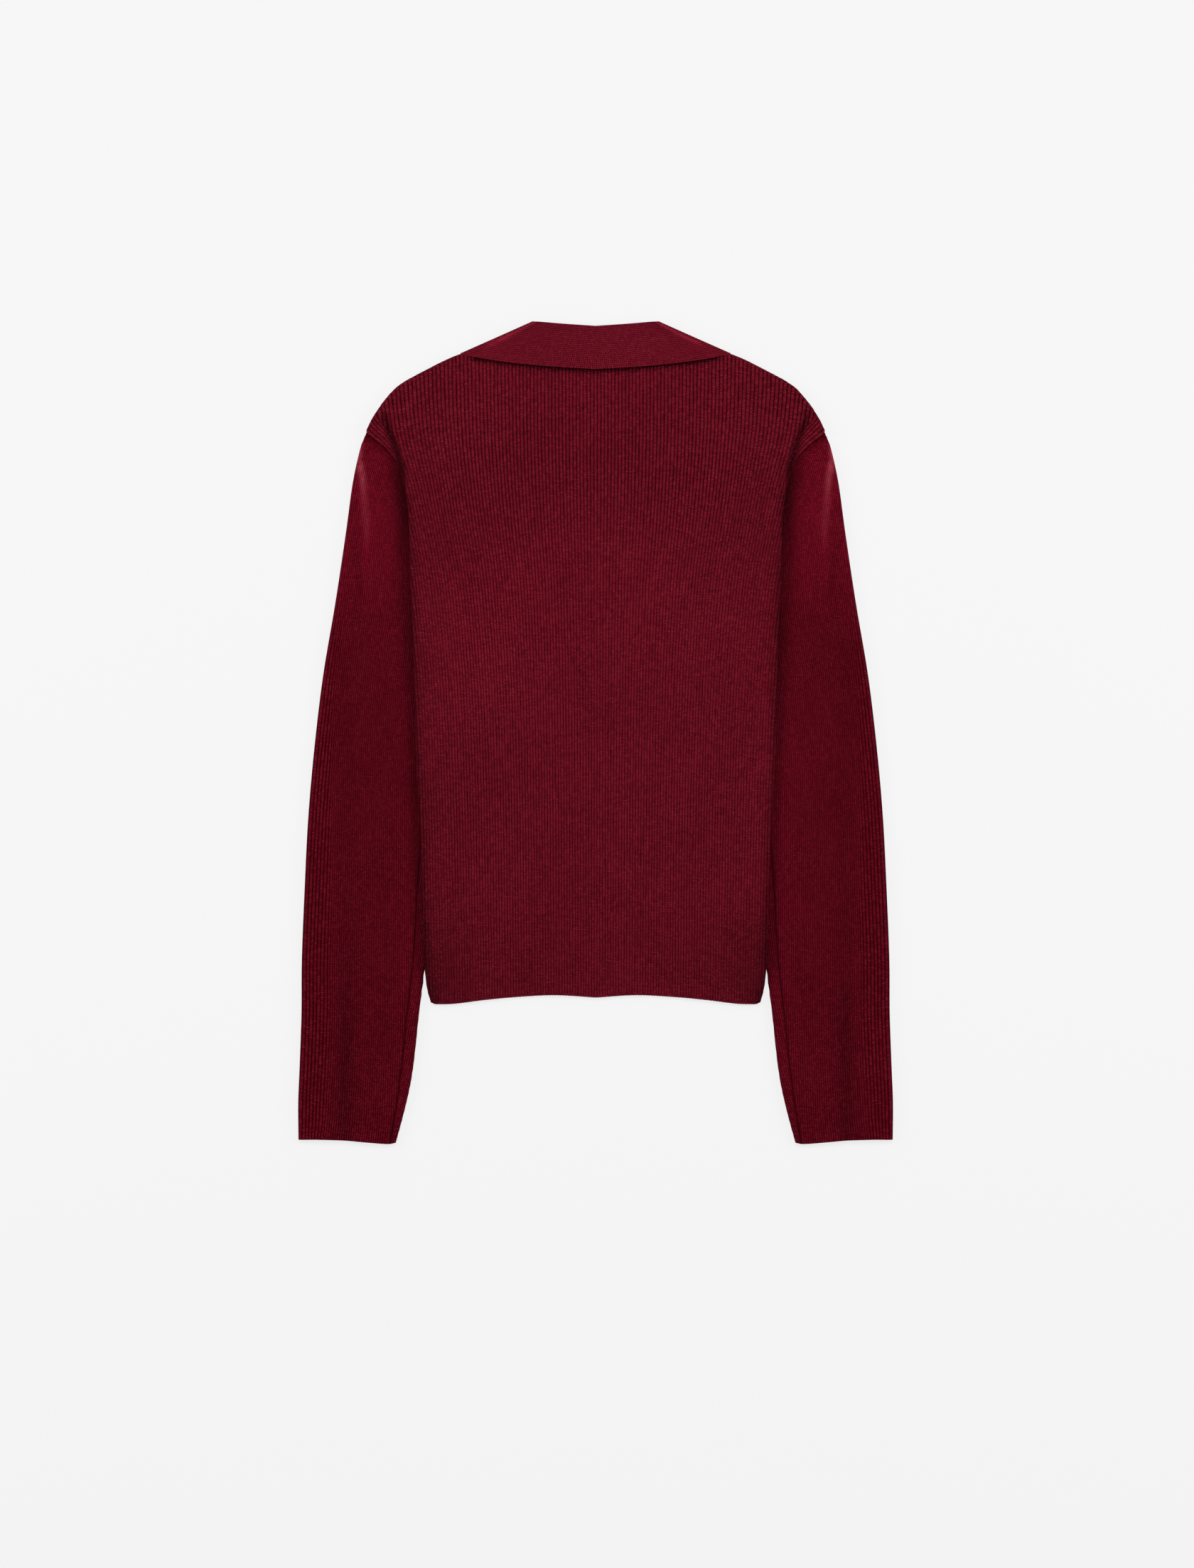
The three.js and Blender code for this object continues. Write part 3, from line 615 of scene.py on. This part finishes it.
body_knit = knit_material("body_rib_knit", (0.215, 0.0082, 0.0208), (0.016, 0.0003, 0.0018),
                          0.72, 0.3, 0.24, 1.1)
back.data.materials.append(body_knit)
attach(back, "root")
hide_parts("back")

# ---- The front ----
# The panel that lies on the floor, in the same rib knit as the back. Its V neck and its armholes
# are edged by five ribs that follow the cut. Below the armhole its sides lie over the sleeves.
SHOULDER = np.array((195.8, 259.9))
ARMPIT = np.array((117.7, 133.0))
SEAM_GAP = 0.3
UNDERARM_Y = 129.0
UNDERARM_ROWS = 24
ARMHOLE = np.array([  # share of the way from the shoulder to the armpit, bow of the back, the front
    (0, -0.8, -1.3), (0.02, 0.2, -0.6), (0.06, 3.6, 3.0), (0.12, 6.9, 5.9), (0.24, 9.2, 10.9),
    (0.5, 8.5, 16.0), (0.8, 4.0, 9.4), (1, 0, 0)])
chord = ARMPIT - SHOULDER
into_body = np.array((chord[1], -chord[0])) / np.hypot(*chord)
share = np.linspace(0, 1, 41)
bow = np.maximum(from_table(ARMHOLE, share, 2), 0) + SEAM_GAP
armhole = SHOULDER + share[:, None] * chord + bow[:, None] * into_body
under_arm = ((ARMPIT[0] - 2, ARMPIT[1] - SEAM_GAP), (ARMPIT[0] - 2, 0))
armhole = np.vstack(((400, 262), armhole, *under_arm))[::-1]
UNDERARM_ROW = ROLL * (UNDERARM_Y - HEM_Y) / (NECK_Y - HEM_Y)
V_ROW = ROLL * (V_BOTTOM_Y - HEM_Y) / (NECK_Y - HEM_Y)
front_rows = hem_rows + list(np.linspace(ROLL * 0.045, UNDERARM_ROW, UNDERARM_ROWS))
front_rows += [UNDERARM_ROW, UNDERARM_ROW + 0.004]
front_rows += list(np.linspace(UNDERARM_ROW + 0.012, V_ROW, 7))
front_rows += list(np.linspace(V_ROW, ROLL * 0.99, 14))[1:] + top_rows
front = body_panel("front_knit", False, np.array(front_rows)[:, None], neck=True,
                   arm_edge=lambda y: np.interp(y, armhole[:, 1], armhole[:, 0]),
                   cut_row=len(hem_rows) + UNDERARM_ROWS - 1)
front.data.materials.append(body_knit)
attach(front, "root")
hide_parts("front")

# ---- The sleeves ----
# Two flattened tubes of finer rib, which meets the armhole squarely. Where a tube folds at its outer
# edge the ribs spread open. Its one long seam runs down the upper layer beside the inner edge.
SLEEVE_RIBS_OVER = 68
SLEEVE_RIBS_UNDER = 78
SLEEVE_RIB_STEPS = np.array((0, 0.17, 0.39, 0.61, 0.83))
SLEEVE_RIB_WIDTHS = np.array([  # way up the sleeve, width where spread, elsewhere, ribs spread
    (0, 2.6, 1.95, 8), (0.06, 2.95, 1.93, 8), (0.23, 3.05, 1.88, 8), (0.385, 3.0, 1.83, 7.5),
    (0.54, 2.9, 1.74, 5), (0.615, 2.75, 1.72, 3.5), (0.69, 2.3, 1.75, 2), (0.77, 1.9, 1.8, 1),
    (1, 1.85, 1.85, 0)])
CUFF_WAVE = np.array([  # share of the way across the cuff from the outer edge, height of the cut edge
    (0, 0), (0.2, 0.7), (0.5, 0.8), (0.7, 0.1), (0.85, -0.4), (0.95, -0.3), (1, 0.9)])
SEAM_FROM_EDGE = np.array([  # way up the sleeve, distance of the seam from the inner edge
    (0, 4.6), (0.07, 7.5), (0.15, 9.5), (1, 10.5)])
stations = np.linspace(0, 1, len(SLEEVE_EDGES))


def sleeve_height(x, y):
    edge = body_edge(y)
    under = blend(4.6, 5.6, smooth(165, 215, y))
    beside = blend(7.4, 5.6, smooth(190, 255, y))
    lift = np.maximum(smooth(edge, edge + 24, x), 1 - smooth(-236, -212, y))
    return blend(under, beside, lift)


def sleeve_place(v, turn):
    """The middle of the cloth some way up the sleeve. turn goes round it: 0 to 1 is the outer fold,
    1 to 2 the upper layer, 2 to 3 the inner fold and 3 to 4 the lower layer."""
    edge = [follow(stations, SLEEVE_EDGES[:, n], v) for n in range(4)]
    outer = np.stack((edge[0] - CLOTH / 2, edge[1]), axis=-1)
    inner = np.stack((edge[2] + CLOTH / 2, edge[3]), axis=-1)
    across = inner - outer
    width = np.hypot(across[..., 0], across[..., 1])

    def half_at(share):
        at = outer + across * share[..., None]
        return (sleeve_height(at[..., 0], at[..., 1]) - CLOTH) / 2

    turn = np.mod(turn, 4) + 0 * v
    part = np.floor(turn)
    t = turn - part
    outer_half = half_at(0.03 + 0 * turn)
    inner_half = half_at(0.97 + 0 * turn)
    outer_reach = fold_reach(outer_half) / width
    inner_reach = fold_reach(inner_half) / width
    flat_share = blend(outer_reach, 1 - inner_reach, np.where(part == 1, t, 1 - t))
    share = np.select((part == 0, part == 2), (outer_reach * (1 - np.sin(math.pi * t)),
                                               1 - inner_reach * (1 - np.sin(math.pi * t))), flat_share)
    half = np.select((part == 0, part == 2), (outer_half, inner_half), half_at(flat_share))
    lift = np.select((part == 0, part == 1, part == 2),
                     (-np.cos(math.pi * t), 1 + 0 * t, np.cos(math.pi * t)), -1 + 0 * t)
    bows = [from_table(ARMHOLE, share, n) for n in (2, 1)]
    bow = blend(bows[0], bows[1], (lift + 1) / 2) * smooth(0.72, 1, v)
    bow = bow - 0.2 * smooth(0.9, 1, v)
    inward = np.stack((across[..., 1], -across[..., 0]), axis=-1) / width[..., None]
    at = outer + across * share[..., None] + inward * bow[..., None]
    wave = from_table(CUFF_WAVE, share) * (1 - smooth(0, 0.04, v))
    return np.stack((at[..., 0], at[..., 1] + wave, CLOTH / 2 + half * (1 + lift)), axis=-1)


def sleeve_folds(y):
    """How far out the trough of the lower sleeve and the ridge of the upper sleeve run."""
    return np.interp(y, (-350, -190, 90), (216, 213, 216)), np.interp(
        y, (100, 185, 201, 214, 224, 234, 242), (193, 197, 198.4, 199.1, 200.7, 203.2, 202.1))


def sleeve_painted_shading(x, y):
    """Painted light and shade in the yarn's colour: painted light down from the shoulder with a
    painted highlight along its ridge, and painted shade beside the body and in the folds.
    """
    edge = body_edge(y)
    trough, ridge = sleeve_folds(y)
    # painted light, stronger towards the shoulder and over the outer part lower down
    painted_shading = 0.44 * smooth(60, 190, y) + 0.10 * (1 - smooth(160, 185, x)) * (1 - smooth(90, 150, y))
    # painted highlight along the ridge that runs down from the shoulder
    painted_shading = painted_shading + 0.25 * bell(x, ridge, 4) * smooth(110, 185, y) * (1 - smooth(236, 252, y))
    painted_shading = painted_shading + 0.55 * bell(x, ridge, 2.0) * smooth(196, 228, y) * (1 - smooth(238, 250, y))
    outer = smooth(80, 150, y) * (1 - smooth(185, 212, y))
    # painted shade between the ridge and the outer edge
    painted_shading = painted_shading - 0.25 * bell(x - ridge, 10, 5) * outer
    # painted shadow and shade along the edge of the body, strongest near the shoulder
    dark = np.interp(y, (0, 140, 200, 220, 245), (0, 0.32, 0.78, 0.6, 0.2))
    painted_shading = painted_shading - dark * bell(x - edge, 1, np.interp(y, (215, 240), (11, 5)))
    beside = 0.30 * smooth(SIDE_BOTTOM_Y, -190, y) * (1 - smooth(215, 240, y))
    painted_shading = painted_shading - beside * bell(x - edge, 1, 7)
    # painted shade in the trough of the lower sleeve
    deep = 0.10 + 0.20 * (1 - smooth(-270, -180, y))
    return painted_shading - deep * bell(x, trough, 8) * (1 - smooth(60, 110, y))


def sleeve_relief(x, y):
    """Folds of the upper layer: a trough beside the spread ribs, a ridge down from the shoulder, and
    a valley along the edge of the body."""
    edge = body_edge(y)
    trough, ridge = sleeve_folds(y)
    relief = -1.2 * bell(x, trough, 7) * (1 - smooth(-200, -60, y))
    relief = relief + 1.0 * bell(x, ridge, 5) * smooth(90, 180, y) * (1 - smooth(236, 254, y))
    relief = relief - 1.8 * bell(x - edge, 4, 10) * smooth(-60, 150, y)
    relief = relief - 0.8 * bell(x - edge, 4, 12) * smooth(SIDE_BOTTOM_Y, -190, y)
    return relief + 0.3 * np.sin(y / 37 + x / 23) * np.sin(x / 19)


cuff_rows = (0, 0.004, 0.01, 0.016)
sleeve_rows = np.concatenate((cuff_rows, np.linspace(0.025, 0.97, 54), (0.98, 0.99, 1)))
sleeve_rows = sleeve_rows[:, None]
around = np.linspace(0.5, 4.5, 1601)
ring = sleeve_place(sleeve_rows, around[None] + 0 * sleeve_rows)
step = np.moveaxis(np.diff(ring, axis=1), -1, 0)
gone = np.hypot(np.hypot(step[0], step[1]), step[2])
gone = np.hstack((sleeve_rows * 0, np.cumsum(gone, axis=1)))
total = gone[:, -1:]
inner_edge = gone[:, np.searchsorted(around, 2.5)][:, None]
from_edge = from_table(SEAM_FROM_EDGE, sleeve_rows)
seam_at = inner_edge - from_edge - 1.0
steps = (np.arange(80)[:, None] + SLEEVE_RIB_STEPS[None]).reshape(-1)[2:]
over_ribs = np.concatenate(([0.5], steps[1:]))
over_ribs = over_ribs[over_ribs <= SLEEVE_RIBS_OVER]
under_ribs = steps[1:][steps[1:] <= SLEEVE_RIBS_UNDER]
fine = np.linspace(0, 82, 1641)
spread, plain, count = (from_table(SLEEVE_RIB_WIDTHS, sleeve_rows, n) for n in (1, 2, 3))
width = plain + (spread - plain) * (1 - smooth(count - 1.5, count + 1.5, fine[None]))
rib_at = np.cumsum(width, axis=1) * (fine[1] - fine[0])
rib_at = rib_at - rib_at[:, :1]


def from_fold(ribs):
    return np.array([np.interp(ribs - 0.5, fine, row) for row in rib_at])


SEAM_HALF = 0.8
SEAM_RISE = 0.35
SEAM_RIB = 100  # the number of the seam's ridge among the ribs
TURN_AT_TOP = 5.1
TURN_FROM = 0.915
TURN_SPAN = 0.085
over = from_fold(over_ribs)
under = from_fold(under_ribs)
over_end = seam_at - SEAM_HALF
under_end = total - seam_at - SEAM_HALF
turned = TURN_AT_TOP * np.clip((sleeve_rows - TURN_FROM) / TURN_SPAN, 0, 1) ** 2
ridge_steps = np.array((-0.5, 0, 0.5))
seam_out = seam_at + ridge_steps * SEAM_HALF
over = over + turned
under = under - turned
along_ring = np.hstack((np.minimum(over, over_end), seam_out,
                        (total - np.minimum(under, under_end))[:, ::-1]))
shut = np.hstack((over >= over_end, np.zeros_like(seam_out, bool), (under >= under_end)[:, ::-1]))
ribs = np.concatenate((over_ribs, SEAM_RIB + ridge_steps * 0, -under_ribs[::-1]))
turns = np.array([np.interp(at, row, around) for at, row in zip(along_ring % total, gone)])
is_seam = ribs == SEAM_RIB
shape = np.where(shut, 0, np.where(is_seam, 1.0, crest(ribs)))
open_share = 1 - smooth(count - 1, count + 2.5, np.abs(ribs)[None])
sleeve_depth = blend(0.42, 1.0, open_share * smooth(1.8, 2.9, spread))
sleeve_depth = sleeve_depth + 0.4 * smooth(0.93, 0.98, sleeve_rows)
middle = sleeve_place(sleeve_rows, turns)
normal = -grid_normals(sleeve_place, sleeve_rows, turns, step=2e-3, row_step=1e-4)
folds = sleeve_relief(middle[..., 0], middle[..., 1]) * smooth(0.5, 0.9, normal[..., 2])
middle += normal * folds[..., None]
outside = CLOTH / 2 - sleeve_depth * (1 - shape) + np.where(is_seam, SEAM_RISE, 0)
inside = -CLOTH / 2 + 0.3 * np.where(shut, 0, purl(ribs))
lie = np.stack((np.broadcast_to(ribs, outside.shape), stitches_up(middle)), axis=-1)
# the sleeves' painted light and shade
painted_shading = sleeve_painted_shading(middle[..., 0], middle[..., 1])
sleeve_knit = knit_material("sleeve_rib_knit", (0.160, 0.0031, 0.0128), (0.012, 0.0001, 0.0008),
                            0.8, 0.34, 0.24, 1.1)
for name, hand in (("sleeve_left", -1), ("sleeve_right", 1)):
    grid = [middle * (hand, 1, 1), normal * (hand, 1, 1), outside, inside, lie, painted_shading]
    if hand > 0:
        grid = [part[:, ::-1] for part in grid]
    blocks = [(0, outside.shape[1], 0, len(sleeve_rows) - 1)]
    sleeve = knit_wall(name + "_knit", *grid[:4], blocks, True, *grid[4:])
    sleeve.data.materials.append(sleeve_knit)
    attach(sleeve, "root")
    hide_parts(name)

# ---- The collar ----
# A strip of closer knit, sewn to the neckline by its stand and folded over, with its rows running
# along it. The fall lies on the back, and past the shoulder folds its two leaves turn under.
COLLAR_FOLD = 2.4
COLLAR_STITCH = 1.8
STAND_RIDGES = 4
FOLD_RIDGES = 2
FALL_RIDGES = 22
STRIP_STEPS = 161


def collar_place(v, u):
    """The middle of the collar. v goes across it: 0 to 1 the stand, to 2 the fold, to 3 the fall."""
    v, u = np.broadcast_arrays(v, u)
    sections = np.arange(len(COLLAR), dtype=float)
    station = np.minimum(np.abs(u), 1) * sections[-1]
    value = [follow(sections, COLLAR[:, n], station) for n in range(12)]
    seam, roll, free, side = (np.stack(value[n:n + 3], axis=-1) for n in (0, 3, 6, 9))
    side = side / np.linalg.norm(side, axis=-1, keepdims=True)
    outward = roll - seam
    outward = outward / np.linalg.norm(outward, axis=-1, keepdims=True)
    radius = COLLAR_FOLD / 2
    fold = roll - outward * radius
    v = v[..., None]
    angle = np.clip(v - 1, 0, 1) * math.pi
    bent = fold + outward * radius * np.sin(angle) + side * radius * (1 - np.cos(angle))
    fall = fold + side * COLLAR_FOLD
    past_stand = np.where(v <= 2, bent, fall + (free - fall) * (v - 2))
    at = np.where(v <= 1, seam + (fold - seam) * v, past_stand)
    at = at * np.stack((np.where(u < 0, -1, 1), u * 0 + 1, u * 0 + 1), axis=-1)
    at[..., 2] = np.maximum(at[..., 2], CLOTH / 2)
    return at


ridges = STAND_RIDGES + FOLD_RIDGES + FALL_RIDGES
ridge = np.append((np.arange(ridges)[:, None] + SLEEVE_RIB_STEPS[None]).reshape(-1), ridges)[:, None]
across = np.interp(ridge, (0, STAND_RIDGES, STAND_RIDGES + FOLD_RIDGES, ridges), (0, 1, 2, 3))
strip = np.linspace(-1, 1, STRIP_STEPS)[None]
middle = collar_place(across, strip)
normal = -np.cross(collar_place(across, strip + 1e-4) - collar_place(across, strip - 1e-4),
                   collar_place(across + 1e-3, strip) - collar_place(across - 1e-3, strip))
normal = normal / np.maximum(np.linalg.norm(normal, axis=-1, keepdims=True), 1e-12)
shape = crest(ridge) + 0 * strip
depth = 0.4 * (1 - 0.9 * bell(np.abs(strip), 0.5, 0.05)) + 0 * ridge
length = np.hypot(*np.moveaxis(np.diff(middle[-1, :, :2], axis=0), -1, 0))
length = np.concatenate(([0], np.cumsum(length)))
lie = np.stack((ridge + 0 * strip, length / COLLAR_STITCH + 0 * ridge), axis=-1)
# a painted highlight in a band on each side where the collar turns down, fading before the free edge
slope_light = 0.65 * bell(np.abs(strip), 0.38, 0.035) * (1 - smooth(2.5, 2.9, across))
outside = CLOTH / 2 - depth * (1 - shape)
inside = -CLOTH / 2 + 0.2 * shape
collar = knit_wall("collar_knit", middle, normal, outside, inside,
                   [(0, STRIP_STEPS - 1, 0, len(ridge) - 1)], False, lie, slope_light)
collar_knit = knit_material("collar_close_knit", (0.205, 0.0082, 0.0215), (0.035, 0.0009, 0.0035),
                            0.55, 0.3, 0.2, 0.0)
collar.data.materials.append(collar_knit)
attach(collar, "root")
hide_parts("collar")
